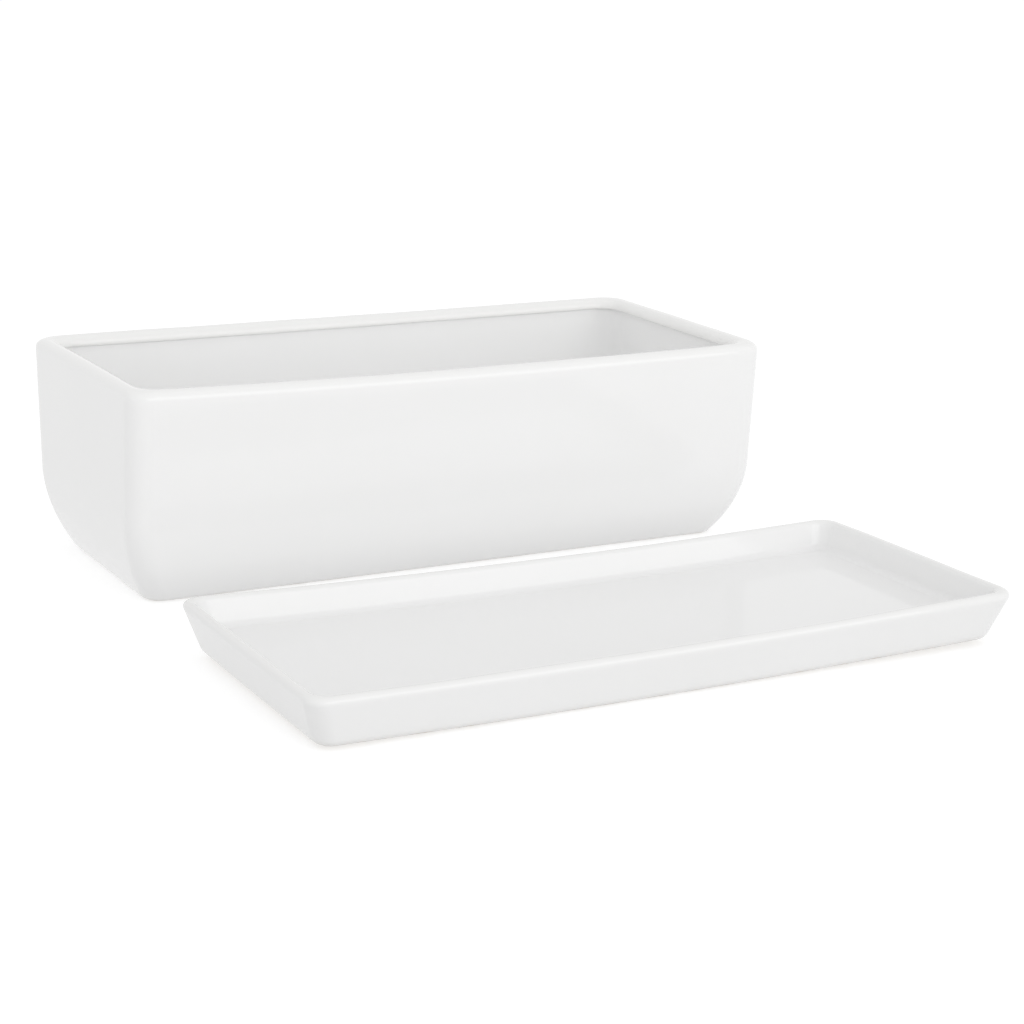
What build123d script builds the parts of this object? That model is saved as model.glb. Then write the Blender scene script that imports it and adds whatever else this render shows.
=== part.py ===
"""Indoor herb planter: a glazed ceramic trough, with the drip tray that it sits in standing in front of it."""

import os
from math import atan2, cos, sin, sqrt

from build123d import *

# Trough, outside: upright walls that lean in a little, then curve in to a smaller base
rim_length = 305.0
rim_width = 137.5
trough_height = 94.0
side_lean = 6.0
end_lean = 0.5
curve_height = 37.5
curve_radius = 67.0
corner_radius = 10.0
base_edge_radius = 5.5

# Trough, inside: a lip overhangs the wall all round the mouth
wall = 6.5
lip_overhang = 2.2
lip_height = 5.0
lip_rounding = 0.8
rim_rounding = 4.0
inner_corner_radius = 12.0
inner_floor_radius = 8.0

# Foot bands that both pieces stand on, and the drain holes in the trough's floor
foot_band = 9.0
foot_recess = 1.2
drain_count = 3
drain_diameter = 11.0
drain_rounding = 1.2

# Drip tray: its rim clears the trough by the gap all round when the trough stands on its floor
tray_gap = 3.8
tray_height = 21.0
tray_wall = 5.0
tray_floor = 9.3
tray_foot_recess = 4.0
tray_flare = 7.0
tray_corner_radius = 8.0
tray_inner_corner_radius = 7.0
tray_floor_radius = 4.0
tray_edge_radius = 5.0
tray_rim_rounding = 2.3

# Where the two pieces stand
stand_off = 47.5
trough_shift = 2.2

# A rounding takes at most this share of the edge that it is on, and a floor's fillet of the corner beside it
rounding_share = 0.48
fillet_share = 0.9


def wall_reach(rim_half, lean, radius, height):
    """Distance at a height from the trough's middle to a wall that reaches rim_half at the rim."""
    if height >= curve_height:
        return rim_half - lean * (1 - height / trough_height)
    angle = atan2(lean, trough_height)
    centre_reach = rim_half - lean * (1 - curve_height / trough_height) - radius * cos(angle)
    centre_height = curve_height + radius * sin(angle)
    return centre_reach + sqrt(radius**2 - (centre_height - height) ** 2)


def wall_outline(rim_half, lean, radius, bottom, top):
    """Upright outline through the trough: flat base, curved lower walls, straight upper walls and flat top."""
    heights = (bottom, (bottom + curve_height) / 2, curve_height, top)
    base, middle, curve_end, rim = [(wall_reach(rim_half, lean, radius, z), z) for z in heights]
    Line((0, bottom), base)
    ThreePointArc(base, middle, curve_end)
    Line(curve_end, rim)
    Line(rim, (0, top))
    mirror(about=Plane.YZ)


def climbing_edges(part):
    """Edges at the corners, whose two ends lie at different heights."""
    return part.edges().filter_by(lambda edge: round((edge @ 0).Z - (edge @ 1).Z, 3) != 0)


def lowest_edges(part):
    """Edges of the lowest face."""
    return part.faces().sort_by(Axis.Z)[0].edges()


def highest_edges(part):
    """Edges of the highest face."""
    return part.faces().sort_by(Axis.Z)[-1].edges()


# The tray's mouth follows the trough's outside at the height of the tray's rim
seat_depth = tray_height - tray_floor
tray_length = 2 * (wall_reach(rim_length / 2, end_lean, curve_radius, seat_depth) + tray_gap + tray_wall)
tray_width = 2 * (wall_reach(rim_width / 2, side_lean, curve_radius, seat_depth) + tray_gap + tray_wall)

# The trough stands behind the tray, and the origin is the middle of the floor that the two cover
set_depth = rim_width + stand_off + tray_width
trough_middle = (-trough_shift, (set_depth - rim_width) / 2, 0)
tray_middle = (0, (tray_width - set_depth) / 2, 0)
trough_plane = Plane(trough_middle)
back_plane = Plane(trough_middle, x_dir=(1, 0, 0), z_dir=(0, -1, 0)).offset(-rim_width / 2)
left_plane = Plane(trough_middle, x_dir=(0, 1, 0), z_dir=(1, 0, 0)).offset(-rim_length / 2)
tray_plane = Plane(tray_middle)

os.makedirs("parts", exist_ok=True)

# Room for soil: the trough's outside drawn in by the wall, from its floor to the underside of the lip
floor_level = wall + foot_recess
lip_underside = trough_height - lip_height
inner_radius = curve_radius - wall
lip_radius = min(lip_rounding, rounding_share * lip_overhang)
with BuildPart() as soil_room:
    with BuildSketch(back_plane):
        with BuildLine():
            wall_outline(rim_length / 2 - wall, end_lean, inner_radius, floor_level, lip_underside)
        make_face()
    extrude(amount=rim_width)
    with BuildSketch(left_plane):
        with BuildLine():
            wall_outline(rim_width / 2 - wall, side_lean, inner_radius, floor_level, lip_underside)
        make_face()
    extrude(amount=rim_length, mode=Mode.INTERSECT)
    fillet(climbing_edges(soil_room), inner_corner_radius)
    fillet(lowest_edges(soil_room), min(inner_floor_radius, fillet_share * inner_corner_radius))
    fillet(highest_edges(soil_room), lip_radius)

# Planter trough: one casting, with a rounded rim, a foot band round its base and a row of drain holes
rim_thickness = wall + lip_overhang
base_length = 2 * wall_reach(rim_length / 2, end_lean, curve_radius, 0)
base_width = 2 * wall_reach(rim_width / 2, side_lean, curve_radius, 0)
with BuildPart() as planter_trough:
    with BuildSketch(back_plane):
        with BuildLine():
            wall_outline(rim_length / 2, end_lean, curve_radius, 0, trough_height)
        make_face()
    extrude(amount=rim_width)
    with BuildSketch(left_plane):
        with BuildLine():
            wall_outline(rim_width / 2, side_lean, curve_radius, 0, trough_height)
        make_face()
    extrude(amount=rim_length, mode=Mode.INTERSECT)
    fillet(climbing_edges(planter_trough), corner_radius)
    fillet(lowest_edges(planter_trough), base_edge_radius)
    add(soil_room.part, mode=Mode.SUBTRACT)
    with BuildSketch(trough_plane.offset(trough_height)):
        RectangleRounded(
            rim_length - 2 * rim_thickness,
            rim_width - 2 * rim_thickness,
            inner_corner_radius - lip_overhang,
        )
    extrude(amount=-2 * lip_height, mode=Mode.SUBTRACT)
    fillet(highest_edges(planter_trough), min(rim_rounding, rounding_share * rim_thickness))
    with BuildSketch(trough_plane):
        RectangleRounded(base_length - 2 * foot_band, base_width - 2 * foot_band, corner_radius)
    extrude(amount=foot_recess, mode=Mode.SUBTRACT)
    with Locations(trough_plane.offset(floor_level)):
        with GridLocations(base_length / drain_count, 0, drain_count, 1):
            Hole(drain_diameter / 2, floor_level)
    fillet(planter_trough.edges(Select.LAST).filter_by(GeomType.CIRCLE), drain_rounding)
planter_trough.part.label = "planter_trough"
export_step(planter_trough.part, "parts/planter_trough.step")

# Drip tray: one casting with flared walls, a rounded rim, a smooth floor and a foot band
floor_inset = tray_wall + tray_flare * seat_depth / tray_height
foot_inset = tray_flare + foot_band
with BuildPart() as drip_tray:
    with BuildSketch(tray_plane):
        RectangleRounded(tray_length - 2 * tray_flare, tray_width - 2 * tray_flare, tray_corner_radius)
    with BuildSketch(tray_plane.offset(tray_height)):
        RectangleRounded(tray_length, tray_width, tray_corner_radius)
    loft()
    fillet(lowest_edges(drip_tray), tray_edge_radius)
    with BuildSketch(tray_plane):
        RectangleRounded(tray_length - 2 * foot_inset, tray_width - 2 * foot_inset, tray_corner_radius)
    extrude(amount=tray_foot_recess, mode=Mode.SUBTRACT)
    with BuildSketch(tray_plane.offset(tray_floor)):
        RectangleRounded(
            tray_length - 2 * floor_inset, tray_width - 2 * floor_inset, tray_inner_corner_radius
        )
    with BuildSketch(tray_plane.offset(tray_height)):
        RectangleRounded(tray_length - 2 * tray_wall, tray_width - 2 * tray_wall, tray_inner_corner_radius)
    loft(mode=Mode.SUBTRACT)
    floor_edges = drip_tray.faces().filter_by_position(Axis.Z, tray_floor, tray_floor).edges()
    fillet(floor_edges, min(tray_floor_radius, fillet_share * tray_inner_corner_radius))
    fillet(highest_edges(drip_tray), min(tray_rim_rounding, rounding_share * tray_wall))
drip_tray.part.label = "drip_tray"
export_step(drip_tray.part, "parts/drip_tray.step")
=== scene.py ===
from math import asin, atan2, cos, pi, radians, sin, sqrt

import bpy
from mathutils import Matrix, Vector


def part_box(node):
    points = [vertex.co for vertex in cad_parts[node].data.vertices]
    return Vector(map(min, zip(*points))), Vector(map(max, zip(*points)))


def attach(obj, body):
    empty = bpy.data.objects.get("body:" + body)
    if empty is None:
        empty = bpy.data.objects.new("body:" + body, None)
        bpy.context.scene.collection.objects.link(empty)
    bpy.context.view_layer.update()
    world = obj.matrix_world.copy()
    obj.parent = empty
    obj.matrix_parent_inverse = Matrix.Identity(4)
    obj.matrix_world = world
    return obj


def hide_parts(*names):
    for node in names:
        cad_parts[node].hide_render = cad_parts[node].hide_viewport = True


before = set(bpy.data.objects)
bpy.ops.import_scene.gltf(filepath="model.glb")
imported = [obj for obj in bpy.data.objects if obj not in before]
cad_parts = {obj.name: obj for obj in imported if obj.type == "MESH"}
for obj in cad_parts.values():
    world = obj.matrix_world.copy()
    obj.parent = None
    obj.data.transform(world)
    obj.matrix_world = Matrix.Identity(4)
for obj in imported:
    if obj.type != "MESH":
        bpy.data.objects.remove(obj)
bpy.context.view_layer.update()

# Planter trough: one slip-cast stoneware casting under a thick white glaze, with a rolled rim that
# overhangs the wall inside. Its walls lean in and curve under to a smaller base. It stands on a foot
# band that was wiped bare before firing, round a shallow recess with a row of three drain holes.
mm = 0.001
trough_low, trough_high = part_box("planter_trough")
trough_middle = (trough_low + trough_high) / 2
trough_height = trough_high.z
rim_half_length = 152.5 * mm
rim_half_width = 68.75 * mm
end_lean = 0.5 * mm
side_lean = 6.0 * mm
curve_height = 37.5 * mm
curve_radius = 67.0 * mm
corner_radius = 10.0 * mm
base_rounding = 5.5 * mm
wall = 6.5 * mm
lip_overhang = 2.2 * mm
lip_height = 5.0 * mm
lip_rounding = 0.8 * mm
rim_rounding = 4.0 * mm
inner_corner_radius = 12.0 * mm
inner_floor_radius = 8.0 * mm
foot_band = 9.0 * mm
foot_recess = 1.2 * mm
foot_rounding = 0.4 * mm
floor_level = wall + foot_recess
floor_margin = 2.0 * mm
drain_count = 3
drain_radius = 5.5 * mm
drain_rounding = 1.2 * mm
drain_margin = 1.0 * mm
drain_steps = 6
glazed, thin, bare = 0.0, 0.3, 1.0


def arc(centre, radius, start, end, steps):
    """Points on a circle, from one angle to another: angle 0 is outwards and a quarter turn is up."""
    angles = [start + (end - start) * step / steps for step in range(steps + 1)]
    return [(centre[0] + radius * cos(angle), centre[1] + radius * sin(angle)) for angle in angles]


def run(start, end, steps):
    """Points on a straight line."""
    shares = [step / steps for step in range(steps + 1)]
    return [(start[0] + (end[0] - start[0]) * t, start[1] + (end[1] - start[1]) * t) for t in shares]


def between(ends, share):
    """A value part of the way from one to another."""
    return ends[0] + (ends[1] - ends[0]) * share


def stretch(points, corners, finishes=(glazed, glazed)):
    """Rows of reach, height, corner radius and finish: the corner follows the reach, the finish the row."""
    first, last = points[0][0], points[-1][0]
    span = last - first or 1.0
    rows = []
    for step, (reach, height) in enumerate(points):
        corner = between(corners, (reach - first) / span)
        rows.append((reach, height, corner, between(finishes, step / (len(points) - 1))))
    return rows


def joined(stretches):
    """One line of rows, where each stretch starts at the end of the one before."""
    return stretches[0] + [row for rows in stretches[1:] for row in rows[1:]]


def lower_wall(half, lean, radius, edge, level):
    """Centres of the lower wall's circle and of the edge's on a level, and the angle they meet at."""
    tilt = atan2(lean, trough_height)
    reach = half - lean * (1 - curve_height / trough_height)
    centre = (reach - radius * cos(tilt), curve_height + radius * sin(tilt))
    meet = -asin((centre[1] - level - edge) / (radius - edge))
    edge_centre = (centre[0] + (radius - edge) * cos(meet), level + edge)
    return centre, edge_centre, meet


def trough_line(half, lean):
    """A wall's line: from under the base, over the foot, up the wall, over the rim and in to the floor."""
    tilt = atan2(lean, trough_height)
    wall_centre, base_centre, base_meet = lower_wall(half, lean, curve_radius, base_rounding, 0)
    room_half = half - wall
    room_curve = curve_radius - wall
    room_centre, floor_centre, floor_meet = lower_wall(
        room_half, lean, room_curve, inner_floor_radius, floor_level
    )
    base_reach = wall_centre[0] + sqrt(curve_radius**2 - wall_centre[1] ** 2)
    recess = base_reach - foot_band
    rim_level = trough_height - rim_rounding
    lip_level = trough_height - lip_height
    outer_centre = (half - lean * rim_rounding / trough_height - rim_rounding / cos(tilt), rim_level)
    mouth = half - wall - lip_overhang
    mouth_corner = inner_corner_radius - lip_overhang
    mouth_centre = (mouth + rim_rounding, rim_level)
    lip_centre = (mouth + lip_rounding, lip_level + lip_rounding)
    under_lip = room_half - lean * (lip_height + lip_rounding) / trough_height
    under_centre = (under_lip - lip_rounding / cos(tilt), lip_level - lip_rounding)
    recess_centre = (recess - foot_rounding, foot_recess - foot_rounding)
    foot_centre = (recess + foot_rounding, foot_rounding)
    base_edge = arc(base_centre, base_rounding, -pi / 2, base_meet, 10)
    base_corner = corner_radius - (base_edge[-1][0] - base_edge[0][0])
    curve = arc(wall_centre, curve_radius, base_meet, -tilt, 22)
    rim_outside = arc(outer_centre, rim_rounding, -tilt, pi / 2, 10)
    rim_inside = arc(mouth_centre, rim_rounding, pi / 2, pi, 10)
    rim_share = (rim_outside[0][0] - rim_outside[-1][0]) / (rim_outside[0][0] - mouth)
    top_corner = corner_radius + (mouth_corner - corner_radius) * rim_share
    lip_edge = arc(lip_centre, lip_rounding, pi, 1.5 * pi, 5)
    lip_corner = mouth_corner + lip_rounding
    under_edge = arc(under_centre, lip_rounding, pi / 2, -tilt, 5)
    room_curve_line = arc(room_centre, room_curve, -tilt, floor_meet, 18)
    floor_edge = arc(floor_centre, inner_floor_radius, floor_meet, -pi / 2, 8)
    floor_corner = inner_corner_radius - (floor_edge[0][0] - floor_edge[-1][0])
    recess_edge = arc(recess_centre, foot_rounding, pi / 2, 0, 3)
    foot_edge = arc(foot_centre, foot_rounding, pi, 1.5 * pi, 3)
    under = (recess_edge[0][0] - floor_margin, foot_recess)
    floor_end = (floor_edge[-1][0] - floor_margin, floor_level)
    return joined(
        [
            stretch(run(under, recess_edge[0], 1), (corner_radius, corner_radius)),
            stretch(recess_edge, (corner_radius, corner_radius)),
            stretch(run(recess_edge[-1], foot_edge[0], 1), (corner_radius, corner_radius)),
            stretch(foot_edge, (corner_radius, corner_radius), (glazed, bare)),
            stretch(run(foot_edge[-1], base_edge[0], 4), (corner_radius, base_corner), (bare, bare)),
            stretch(base_edge, (base_corner, corner_radius), (bare, glazed)),
            stretch(curve, (corner_radius, corner_radius)),
            stretch(run(curve[-1], rim_outside[0], 18), (corner_radius, corner_radius)),
            stretch(rim_outside, (corner_radius, top_corner), (glazed, thin)),
            stretch(run(rim_outside[-1], rim_inside[0], 1), (top_corner, top_corner), (thin, thin)),
            stretch(rim_inside, (top_corner, mouth_corner), (thin, thin)),
            stretch(run(rim_inside[-1], lip_edge[0], 1), (mouth_corner, mouth_corner), (thin, thin)),
            stretch(lip_edge, (mouth_corner, lip_corner), (thin, thin)),
            stretch(run(lip_edge[-1], under_edge[0], 2), (lip_corner, inner_corner_radius), (thin, glazed)),
            stretch(under_edge, (inner_corner_radius, inner_corner_radius)),
            stretch(run(under_edge[-1], room_curve_line[0], 16), (inner_corner_radius, inner_corner_radius)),
            stretch(room_curve_line, (inner_corner_radius, inner_corner_radius)),
            stretch(floor_edge, (inner_corner_radius, floor_corner)),
            stretch(run(floor_edge[-1], floor_end, 1), (floor_corner, floor_corner)),
        ]
    )


def drain_line():
    """A drain hole's line: from the floor, over its rounded edge and down to the recess under the base."""
    edge = drain_radius + drain_rounding
    top = arc((edge, floor_level - drain_rounding), drain_rounding, pi / 2, pi, drain_steps)
    bottom = arc((edge, foot_recess + drain_rounding), drain_rounding, pi, 1.5 * pi, drain_steps)
    margin = edge + drain_margin
    line = [(margin, floor_level), *top, *bottom, (margin, foot_recess)]
    return [(reach, height, 0.0, glazed) for reach, height in line]


def lines_object(name, end_line, side_line, hole_line):
    """The lines as one mesh: the end wall's across X, the side wall's across Y, and a hole's."""
    points = [(r, 0, z) for r, z, *rest in end_line]
    points += [(0, r, z) for r, z, *rest in side_line]
    points += [(r, 0, z) for r, z, *rest in hole_line]
    mesh = bpy.data.meshes.new(name)
    mesh.from_pydata(points, [], [])
    rows = end_line + side_line + hole_line
    for label, column in (("corner", 2), ("bare", 3)):
        values = mesh.attributes.new(label, "FLOAT", "POINT")
        values.data.foreach_set("value", [row[column] for row in rows])
    lines = bpy.data.objects.new(name, mesh)
    bpy.context.scene.collection.objects.link(lines)
    return lines


class Quantity:
    """A number in a node tree, so that the rule for a shape reads as a formula."""

    def __init__(self, tree, socket):
        self.tree = tree
        self.socket = socket

    def worked(self, operation, *others):
        node = self.tree.nodes.new("ShaderNodeMath")
        node.operation = operation
        for socket, value in zip(node.inputs, (self, *others)):
            feed(socket, value)
        return Quantity(self.tree, node.outputs[0])

    def __add__(self, other):
        return self.worked("ADD", other)

    def __sub__(self, other):
        return self.worked("SUBTRACT", other)

    def __rsub__(self, other):
        return self.worked("MULTIPLY_ADD", -1.0, other)

    def __mul__(self, other):
        return self.worked("MULTIPLY", other)

    def __truediv__(self, other):
        return self.worked("DIVIDE", other)

    def __rtruediv__(self, other):
        return self.worked("POWER", -1.0) * other

    def remainder(self, other):
        return self.worked("MODULO", other)

    def floor(self):
        return self.worked("FLOOR")

    def cosine(self):
        return self.worked("COSINE")

    def sine(self):
        return self.worked("SINE")

    def at_most(self, other):
        return self.worked("MINIMUM", other)

    def at_least(self, other):
        return self.worked("MAXIMUM", other)

    def above(self, other):
        return self.worked("GREATER_THAN", other)


def feed(socket, value):
    """Links a quantity or a node's output into a socket, or sets the socket to a plain value."""
    if isinstance(value, Quantity):
        value = value.socket
    if isinstance(value, bpy.types.NodeSocket):
        socket.id_data.links.new(value, socket)
    else:
        socket.default_value = value


def add_node(tree, kind, inputs, **settings):
    """Adds a node, with its settings and what goes into it."""
    node = tree.nodes.new(kind)
    for name, value in settings.items():
        setattr(node, name, value)
    for name, value in inputs.items():
        feed(node.inputs[name], value)
    return node


def vector_of(tree, x, y, z):
    """Three quantities as one vector."""
    return add_node(tree, "ShaderNodeCombineXYZ", {"X": x, "Y": y, "Z": z}).outputs[0]


def parts_of(tree, vector):
    """A vector as three quantities."""
    node = add_node(tree, "ShaderNodeSeparateXYZ", {"Vector": vector})
    return [Quantity(tree, socket) for socket in node.outputs]


def casting_tree():
    """The rule for a cast piece: wall lines carried round an oblong, floors with holes, and kiln warp."""
    tree = bpy.data.node_groups.new("slip_casting", "GeometryNodeTree")
    tree.is_modifier = True
    face = tree.interface
    face.new_socket("Lines", in_out="INPUT", socket_type="NodeSocketGeometry")
    sizes = {
        "Rows": "NodeSocketInt",
        "Columns": "NodeSocketInt",
        "Corner Share": "NodeSocketFloat",
        "Half Length": "NodeSocketFloat",
        "Half Width": "NodeSocketFloat",
        "Height": "NodeSocketFloat",
        "Underside": "NodeSocketFloat",
        "Floor": "NodeSocketFloat",
        "Hole Count": "NodeSocketInt",
        "Hole Pitch": "NodeSocketFloat",
        "Hole Rows": "NodeSocketInt",
        "Hole Columns": "NodeSocketInt",
        "Hole Edge": "NodeSocketFloat",
        "Front Sag": "NodeSocketFloat",
        "Back Sag": "NodeSocketFloat",
        "Front Tilt": "NodeSocketFloat",
        "Back Tilt": "NodeSocketFloat",
        "Front Bow": "NodeSocketFloat",
        "Back Bow": "NodeSocketFloat",
        "Left Lift": "NodeSocketFloat",
        "Right Lift": "NodeSocketFloat",
        "Twist": "NodeSocketFloat",
        "Wobble": "NodeSocketFloat",
        "Wobble Size": "NodeSocketFloat",
        "Seed": "NodeSocketFloat",
        "Place": "NodeSocketVector",
        "Glaze": "NodeSocketMaterial",
    }
    for name, kind in sizes.items():
        face.new_socket(name, in_out="INPUT", socket_type=kind)
    face.new_socket("Casting", in_out="OUTPUT", socket_type="NodeSocketGeometry")
    given = tree.nodes.new("NodeGroupInput").outputs
    size = {name: Quantity(tree, given[name]) for name in sizes}
    lines = given["Lines"]
    index = Quantity(tree, tree.nodes.new("GeometryNodeInputIndex").outputs[0])
    position = tree.nodes.new("GeometryNodeInputPosition").outputs[0]

    def along(value, kind, row):
        sample = {"Geometry": lines, "Value": value, "Index": row}
        return add_node(tree, "GeometryNodeSampleIndex", sample, data_type=kind).outputs[0]

    def named(label):
        kind = "GeometryNodeInputNamedAttribute"
        return add_node(tree, kind, {"Name": label}, data_type="FLOAT").outputs[0]

    def sheet(columns, rows):
        grid = {"Size X": 1.0, "Size Y": 1.0, "Vertices X": columns + 1, "Vertices Y": rows}
        return add_node(tree, "GeometryNodeMeshGrid", grid).outputs[0]

    def moved(geometry, **inputs):
        return add_node(tree, "GeometryNodeSetPosition", {"Geometry": geometry, **inputs}).outputs[0]

    def stored(geometry, label, value):
        note = {"Geometry": geometry, "Name": label, "Value": value}
        return add_node(tree, "GeometryNodeStoreNamedAttribute", note, data_type="FLOAT").outputs[0]

    def together(*geometries):
        node = tree.nodes.new("GeometryNodeJoinGeometry")
        for geometry in geometries:
            tree.links.new(geometry, node.inputs[0])
        return node.outputs[0]

    def shifted(geometry, offset):
        shift = {"Geometry": geometry, "Translation": offset}
        return add_node(tree, "GeometryNodeTransform", shift).outputs[0]

    # A column stands on one of four corner arcs, or on the straight side after it
    row = index.remainder(size["Rows"])
    turn = (index / size["Rows"]).floor() / size["Columns"] * 4.0
    quarter = (turn + 0.0001).floor()
    rest = turn - quarter
    round_corner = (rest / size["Corner Share"]).at_most(1.0)
    down_side = ((rest - size["Corner Share"]) / (1.0 - size["Corner Share"])).at_least(0.0)
    facing = (quarter + round_corner) * (pi / 2)
    facing_x, facing_y = facing.cosine(), facing.sine()
    this_corner = quarter * (pi / 2) + pi / 4
    next_corner = this_corner + pi / 2
    side_x = (this_corner.cosine() * (1.0 - down_side) + next_corner.cosine() * down_side) * sqrt(2)
    side_y = (this_corner.sine() * (1.0 - down_side) + next_corner.sine() * down_side) * sqrt(2)

    # Each row is a rounded oblong: the end wall's line gives its length, and the side wall's its width
    end_x, end_y, end_z = parts_of(tree, along(position, "FLOAT_VECTOR", row))
    long_x, long_y, long_z = parts_of(tree, along(position, "FLOAT_VECTOR", row + size["Rows"]))
    corner = Quantity(tree, along(named("corner"), "FLOAT", row))
    ring_x = side_x * (end_x - corner) + facing_x * corner
    ring_y = side_y * (long_y - corner) + facing_y * corner
    ring_z = end_z * facing_x * facing_x + long_z * facing_y * facing_y
    skin = sheet(size["Columns"], size["Rows"])
    skin = moved(skin, Position=vector_of(tree, ring_x, ring_y, ring_z))
    skin = stored(skin, "bare", along(named("bare"), "FLOAT", row))
    skin = stored(skin, "row", row)
    weld = {"Geometry": skin, "Distance": 0.001 * mm}
    skin = add_node(tree, "GeometryNodeMergeByDistance", weld).outputs[0]

    # The floor and the underside are flat, with a ring round each hole
    hole_line = {"Count": size["Hole Count"], "Offset": vector_of(tree, size["Hole Pitch"], 0.0, 0.0)}
    hole_start = (size["Hole Count"] - 1.0) * size["Hole Pitch"] * -0.5
    hole_line["Start Location"] = vector_of(tree, hole_start, 0.0, 0.0)
    hole_places = add_node(tree, "GeometryNodeMeshLine", hole_line).outputs[0]

    def at_holes(geometry):
        copies = {"Points": hole_places, "Instance": geometry}
        spread = add_node(tree, "GeometryNodeInstanceOnPoints", copies).outputs[0]
        return add_node(tree, "GeometryNodeRealizeInstances", {"Geometry": spread}).outputs[0]

    circle = {"Resolution": size["Hole Columns"], "Radius": size["Hole Edge"]}
    hole_rings = at_holes(add_node(tree, "GeometryNodeCurvePrimitiveCircle", circle).outputs[0])
    row_mark = Quantity(tree, named("row"))

    def flat(wanted, level):
        edge = {"Mesh": skin, "Selection": wanted}
        outline = add_node(tree, "GeometryNodeMeshToCurve", edge).outputs[0]
        rings = {"Curve": together(outline, hole_rings)}
        filled = add_node(tree, "GeometryNodeFillCurve", rings, mode="TRIANGLES").outputs[0]
        return shifted(filled, vector_of(tree, 0.0, 0.0, level))

    floor = flat(row_mark.above(size["Rows"] - 1.5), size["Floor"])
    underside = flat((0.5 - row_mark).above(0.0), size["Underside"])
    underside = add_node(tree, "GeometryNodeFlipFaces", {"Mesh": underside}).outputs[0]

    # A hole's wall is its line turned round an upright axis
    hole_row = index.remainder(size["Hole Rows"])
    hole_turn = (index / size["Hole Rows"]).floor() / size["Hole Columns"] * (2 * pi)
    hole_x, hole_y, hole_z = parts_of(
        tree, along(position, "FLOAT_VECTOR", hole_row + size["Rows"] * 2.0)
    )
    hole_skin = sheet(size["Hole Columns"], size["Hole Rows"])
    hole_place = vector_of(tree, hole_x * hole_turn.cosine(), hole_x * hole_turn.sine(), hole_z)
    holes = at_holes(moved(hole_skin, Position=hole_place))
    weld = {"Geometry": together(skin, floor, underside, holes), "Distance": 0.001 * mm}
    casting = add_node(tree, "GeometryNodeMergeByDistance", weld).outputs[0]

    # Kiln warp: long walls sag and bow in the middle of their length, ends lift, and no face is quite flat
    x, y, z = parts_of(tree, position)
    along_share = x / size["Half Length"]
    across_share = y / size["Half Width"]
    middle_share = 1.0 - along_share * along_share
    up_share = z / size["Height"]
    back_share = (across_share + 1.0) * 0.5
    sag = size["Back Sag"] * back_share + size["Front Sag"] * (1.0 - back_share)
    tilt = size["Back Tilt"] * back_share + size["Front Tilt"] * (1.0 - back_share)
    left_lift = size["Left Lift"] * along_share.at_most(0.0) * along_share
    right_lift = size["Right Lift"] * along_share.at_least(0.0) * along_share
    twist = size["Twist"] * along_share * across_share
    bow = size["Front Bow"] * (1.0 - back_share) - size["Back Bow"] * back_share
    warp_y = bow * middle_share * up_share
    warp_z = left_lift + right_lift + twist - (sag * middle_share + tilt * along_share) * up_share
    casting = moved(casting, Offset=vector_of(tree, 0.0, warp_y, warp_z))
    ripple = {"Vector": position, "W": size["Seed"], "Scale": 1.0 / size["Wobble Size"], "Detail": 1.0}
    noise = Quantity(tree, add_node(tree, "ShaderNodeTexNoise", ripple, noise_dimensions="4D").outputs[0])
    normal = tree.nodes.new("GeometryNodeInputNormal").outputs[0]
    push = add_node(tree, "ShaderNodeVectorMath", {"Vector": normal}, operation="SCALE")
    feed(push.inputs["Scale"], (noise - 0.5) * size["Wobble"] * up_share.at_most(0.2) * 5.0)
    casting = moved(casting, Offset=push.outputs[0])
    casting = shifted(casting, given["Place"])
    casting = add_node(tree, "GeometryNodeSetShadeSmooth", {"Geometry": casting}).outputs[0]
    casting = add_node(tree, "GeometryNodeRealizeInstances", {"Geometry": casting}).outputs[0]
    coated = add_node(tree, "GeometryNodeSetMaterial", {"Geometry": casting, "Material": given["Glaze"]})
    feed(tree.nodes.new("NodeGroupOutput").inputs[0], coated.outputs[0])
    return tree


def cast(name, lines, tree, sizes):
    """The casting that the tree makes of the lines, as a plain mesh object."""
    modifier = lines.modifiers.new("casting", "NODES")
    modifier.node_group = tree
    for socket in tree.interface.items_tree:
        if socket.name in sizes:
            modifier[socket.identifier] = sizes[socket.name]
    ready = lines.evaluated_get(bpy.context.evaluated_depsgraph_get())
    mesh = bpy.data.meshes.new_from_object(ready)
    mesh.materials.pop(index=0)
    piece = bpy.data.objects.new(name, mesh)
    bpy.context.scene.collection.objects.link(piece)
    bpy.data.objects.remove(lines)
    mesh.name = name
    return piece


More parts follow.
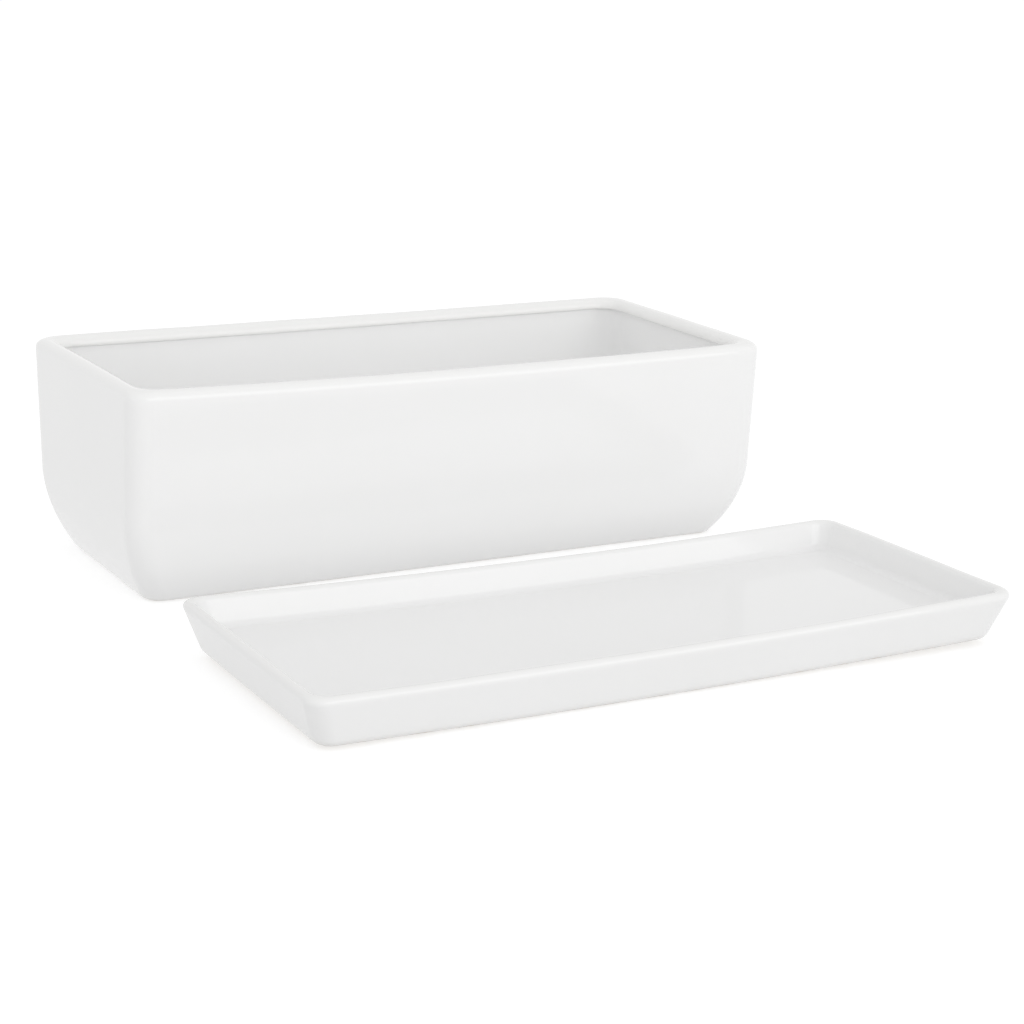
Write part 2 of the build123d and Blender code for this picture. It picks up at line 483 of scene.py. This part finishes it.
def glaze_material(name, offset, whiteness):
    """White glaze, glassy and a little wavy, thin at the rim and stopping short of the foot's bare clay."""
    material = bpy.data.materials.new(name)
    material.use_nodes = True
    tree = material.node_tree
    place = tree.nodes.new("ShaderNodeTexCoord").outputs["Object"]
    finish = Quantity(tree, add_node(tree, "ShaderNodeAttribute", {}, attribute_name="bare").outputs["Fac"])

    def noise(size, detail, stretch=(1.0, 1.0, 1.0)):
        moved = {"Vector": place, "Location": (offset, 0, 0), "Scale": stretch}
        spot = add_node(tree, "ShaderNodeMapping", moved).outputs[0]
        grain = {"Vector": spot, "Scale": 1.0 / size, "Detail": detail}
        return Quantity(tree, add_node(tree, "ShaderNodeTexNoise", grain).outputs[0])

    def mixed(share, first, second):
        node = add_node(tree, "ShaderNodeMix", {}, data_type="RGBA")
        feed(node.inputs[0], share)
        feed(node.inputs[6], first)
        feed(node.inputs[7], second)
        return node.outputs[2]

    waves = noise(30 * mm, 1.0, (0.35, 0.35, 1.0))
    peel = noise(5 * mm, 2.0)
    grit = noise(0.8 * mm, 2.0)
    glaze_line = noise(9 * mm, 3.0)
    clouds = noise(70 * mm, 2.0)
    thinned = (finish / thin).at_most(1.0)
    bared = ((finish + (glaze_line - 0.5) * 0.6 - 0.55) / 0.08).at_least(0.0).at_most(1.0)
    dull = [whiteness * share for share in (0.985, 0.985, 0.98)]
    worn = [whiteness * share for share in (0.97, 0.965, 0.95)]
    white = mixed(clouds, (*dull, 1.0), (whiteness, whiteness, whiteness, 1.0))
    white = mixed(thinned * 0.6, white, (*worn, 1.0))
    clay = mixed(grit, (0.62, 0.57, 0.50, 1.0), (0.84, 0.79, 0.71, 1.0))
    shader = tree.nodes["Principled BSDF"]
    feed(shader.inputs["Base Color"], mixed(bared, white, clay))
    feed(shader.inputs["Roughness"], (peel * 0.04 + 0.06) * (1.0 - bared) + bared * 0.8)
    height = (waves * 0.5 + peel * 0.0015) * (1.0 - bared) + grit * bared * 0.12
    bump = add_node(tree, "ShaderNodeBump", {"Height": height, "Distance": mm})
    feed(shader.inputs["Normal"], bump.outputs[0])
    return material


casting = casting_tree()
trough_glaze = glaze_material("white_glaze_trough", 0.0, 0.965)
end_line = trough_line(rim_half_length, end_lean)
side_line = trough_line(rim_half_width, side_lean)
hole_line = drain_line()
trough_lines = lines_object("trough_lines", end_line, side_line, hole_line)
base_length = 2 * (end_line[0][0] + floor_margin + foot_rounding + foot_band)
trough_sizes = {
    "Rows": len(end_line),
    "Columns": 288,
    "Corner Share": 1 / 6,
    "Half Length": rim_half_length,
    "Half Width": rim_half_width,
    "Height": trough_height,
    "Underside": foot_recess,
    "Floor": floor_level,
    "Hole Count": drain_count,
    "Hole Pitch": base_length / drain_count,
    "Hole Rows": len(hole_line),
    "Hole Columns": 48,
    "Hole Edge": hole_line[0][0],
    "Front Sag": 1.75 * mm,
    "Back Sag": 0.4 * mm,
    "Front Tilt": 0.7 * mm,
    "Back Tilt": 0.2 * mm,
    "Front Bow": 0.0,
    "Back Bow": 0.0,
    "Left Lift": 0.0,
    "Right Lift": 0.0,
    "Twist": 0.0,
    "Wobble": 0.8 * mm,
    "Wobble Size": 60 * mm,
    "Seed": 3.0,
    "Place": (trough_middle.x, trough_middle.y, 0),
    "Glaze": trough_glaze,
}
trough = cast("glazed_trough", trough_lines, casting, trough_sizes)
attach(trough, "trough")
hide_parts("planter_trough")

# Drip tray: a shallow flared dish cast and glazed like the trough, which fits in it with room all round.
# Its floor lies well above its own bare foot band. Its ends lifted a little from the kiln shelf.
tray_low, tray_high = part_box("drip_tray")
tray_middle = (tray_low + tray_high) / 2
tray_height = tray_high.z
tray_wall = 5.0 * mm
tray_floor = 9.3 * mm
tray_foot_recess = 4.0 * mm
tray_flare = 7.0 * mm
tray_corner_radius = 8.0 * mm
tray_inner_corner_radius = 7.0 * mm
tray_floor_radius = 4.0 * mm
tray_base_rounding = 5.0 * mm
tray_rim_rounding = 2.3 * mm
tray_tilt = atan2(tray_flare, tray_height)


def tray_line(rim_half):
    """A wall's line: from under the base, over the foot, up the wall, over the rim and in to the floor."""
    half = rim_half + tray_flare * tray_rim_rounding / tray_height

    def tangent_circle(reach, height, radius):
        return (reach - tray_flare * (1 - height / tray_height) + radius / cos(tray_tilt), height)

    rim_level = tray_height - tray_rim_rounding
    base_centre = tangent_circle(half, tray_base_rounding, -tray_base_rounding)
    outer_centre = tangent_circle(half, rim_level, -tray_rim_rounding)
    inner_centre = tangent_circle(half - tray_wall, rim_level, tray_rim_rounding)
    floor_centre = tangent_circle(half - tray_wall, tray_floor + tray_floor_radius, -tray_floor_radius)
    recess = half - tray_flare - foot_band
    recess_centre = (recess - foot_rounding, tray_foot_recess - foot_rounding)
    foot_centre = (recess + foot_rounding, foot_rounding)
    recess_edge = arc(recess_centre, foot_rounding, pi / 2, 0, 3)
    foot_edge = arc(foot_centre, foot_rounding, pi, 1.5 * pi, 3)
    base_edge = arc(base_centre, tray_base_rounding, -pi / 2, -tray_tilt, 10)
    rim_outside = arc(outer_centre, tray_rim_rounding, -tray_tilt, pi / 2, 10)
    rim_inside = arc(inner_centre, tray_rim_rounding, pi / 2, pi - tray_tilt, 10)
    floor_edge = arc(floor_centre, tray_floor_radius, -tray_tilt, -pi / 2, 10)
    outer, inner = tray_corner_radius, tray_inner_corner_radius
    top = (outer + inner) / 2
    base_corner = outer - (base_edge[-1][0] - base_edge[0][0])
    floor_corner = inner - (floor_edge[0][0] - floor_edge[-1][0])
    under = (recess_edge[0][0] - floor_margin, tray_foot_recess)
    floor_end = (floor_edge[-1][0] - floor_margin, tray_floor)
    return joined(
        [
            stretch(run(under, recess_edge[0], 1), (outer, outer)),
            stretch(recess_edge, (outer, outer)),
            stretch(run(recess_edge[-1], foot_edge[0], 1), (outer, outer)),
            stretch(foot_edge, (outer, outer), (glazed, bare)),
            stretch(run(foot_edge[-1], base_edge[0], 4), (outer, base_corner), (bare, bare)),
            stretch(base_edge, (base_corner, outer), (bare, glazed)),
            stretch(run(base_edge[-1], rim_outside[0], 8), (outer, outer)),
            stretch(rim_outside, (outer, top), (glazed, thin)),
            stretch(run(rim_outside[-1], rim_inside[0], 1), (top, top), (thin, thin)),
            stretch(rim_inside, (top, inner), (thin, glazed)),
            stretch(run(rim_inside[-1], floor_edge[0], 6), (inner, inner)),
            stretch(floor_edge, (inner, floor_corner)),
            stretch(run(floor_edge[-1], floor_end, 1), (floor_corner, floor_corner)),
        ]
    )


# The tray's glaze is a shade darker than the trough's (0.925 against 0.965): painted shade, standing in for
# less light on the tray.
tray_glaze = glaze_material("white_glaze_tray", 1.3, 0.925)
tray_half_length = (tray_high.x - tray_low.x) / 2
tray_half_width = (tray_high.y - tray_low.y) / 2
tray_end_line = tray_line(tray_half_length)
tray_side_line = tray_line(tray_half_width)
tray_lines = lines_object("tray_lines", tray_end_line, tray_side_line, [])
tray_sizes = {
    "Rows": len(tray_end_line),
    "Columns": 288,
    "Corner Share": 1 / 6,
    "Half Length": tray_half_length,
    "Half Width": tray_half_width,
    "Height": tray_height,
    "Underside": tray_foot_recess,
    "Floor": tray_floor,
    "Hole Count": 0,
    "Hole Pitch": 0.0,
    "Hole Rows": 2,
    "Hole Columns": 3,
    "Hole Edge": 0.001,
    "Front Sag": 0.0,
    "Back Sag": 0.0,
    "Front Tilt": 0.0,
    "Back Tilt": 0.0,
    "Front Bow": 0.0,
    "Back Bow": 2.2 * mm,
    "Left Lift": 1.75 * mm,
    "Right Lift": 2.0 * mm,
    "Twist": -0.55 * mm,
    "Wobble": 0.8 * mm,
    "Wobble Size": 60 * mm,
    "Seed": 8.0,
    "Place": (tray_middle.x, tray_middle.y, 0),
    "Glaze": tray_glaze,
}
tray = cast("glazed_tray", tray_lines, casting, tray_sizes)
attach(tray, "tray")
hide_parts("drip_tray")

# Studio: a plain white floor that keeps a soft shadow, in a white tent with a large soft lamp in front
# of the pieces and a smaller one at their left, both low. The camera and shiny surfaces see white.
floor_reach = 15.0
floor_mesh = bpy.data.meshes.new("studio_floor")
floor_corners = [(x, y, 0) for x, y in ((-1, -1), (1, -1), (1, 1), (-1, 1))]
floor_mesh.from_pydata([Vector(corner) * floor_reach for corner in floor_corners], [], [(0, 1, 2, 3)])
studio_floor = bpy.data.objects.new("studio_floor", floor_mesh)
bpy.context.scene.collection.objects.link(studio_floor)


def seen_straight(tree):
    """1 for a ray from the camera or a shiny or clear surface, 0 for light that a dull surface gathers."""
    path = tree.nodes.new("ShaderNodeLightPath").outputs
    camera_ray = Quantity(tree, path["Is Camera Ray"])
    return camera_ray.at_least(path["Is Glossy Ray"]).at_least(path["Is Transmission Ray"])


floor_grey = (0.5, 0.5, 0.5, 1.0)
floor_glow = 0.29
floor_seen_glow = 0.34
floor_paint = bpy.data.materials.new("studio_floor")
floor_paint.use_nodes = True
floor_tree = floor_paint.node_tree
floor_tree.nodes.clear()
matt_white = add_node(floor_tree, "ShaderNodeBsdfDiffuse", {"Color": floor_grey})
floor_strength = seen_straight(floor_tree) * floor_seen_glow + floor_glow
lit_white = add_node(floor_tree, "ShaderNodeEmission", {"Strength": floor_strength})
floor_shader = add_node(floor_tree, "ShaderNodeAddShader", {})
feed(floor_shader.inputs[0], matt_white.outputs[0])
feed(floor_shader.inputs[1], lit_white.outputs[0])
floor_output = floor_tree.nodes.new("ShaderNodeOutputMaterial")
feed(floor_output.inputs["Surface"], floor_shader.outputs[0])
floor_mesh.materials.append(floor_paint)

tent_light = 0.785
world = bpy.data.worlds.new("studio_tent")
bpy.context.scene.world = world
world.use_nodes = True
tent = world.node_tree.nodes["Background"]
feed(tent.inputs["Color"], (1.0, 1.0, 1.0, 1.0))
feed(tent.inputs["Strength"], seen_straight(world.node_tree) * (1.0 - tent_light) + tent_light)


lamp_distance = 1.8
lamp_target = Vector((0, 0, 0.04))


def soft_lamp(name, right_of_front, elevation, width, height, watts):
    """A soft lamp at an angle from the front, turned to the pieces."""
    data = bpy.data.lights.new(name, "AREA")
    data.shape = "RECTANGLE"
    data.size = width
    data.size_y = height
    data.energy = watts
    lamp = bpy.data.objects.new(name, data)
    bpy.context.scene.collection.objects.link(lamp)
    flat = cos(elevation)
    way = Vector((sin(right_of_front) * flat, -cos(right_of_front) * flat, sin(elevation)))
    lamp.location = lamp_target + way * lamp_distance
    lamp.rotation_euler = way.to_track_quat("Z", "Y").to_euler()


soft_lamp("front_lamp", radians(10), radians(20), 1.8, 1.1, 7.1)
soft_lamp("left_lamp", radians(-85), radians(12), 0.7, 0.5, 0.9)

# Camera: a long lens at the photograph's angle, in front of the two pieces, above them and to their left.
# Its place, turn, tilt and roll come from a fit to the outlines of both pieces.
camera_data = bpy.data.cameras.new("camera")
camera_data.sensor_width = 36.0
camera_data.lens = 83.905
camera = bpy.data.objects.new("camera", camera_data)
bpy.context.scene.collection.objects.link(camera)
bpy.context.scene.camera = camera
turn_right = 0.4936
look_down = 0.2600
roll = 0.0207
camera_place = (-0.46255, -0.87396, 0.29764)
turned = Matrix.Rotation(-turn_right, 4, "Z")
tilted = Matrix.Rotation(pi / 2 - look_down, 4, "X")
rolled = Matrix.Rotation(roll, 4, "Z")
camera.matrix_world = Matrix.Translation(camera_place) @ (turned @ tilted @ rolled)

bpy.context.scene.view_settings.view_transform = "Standard"
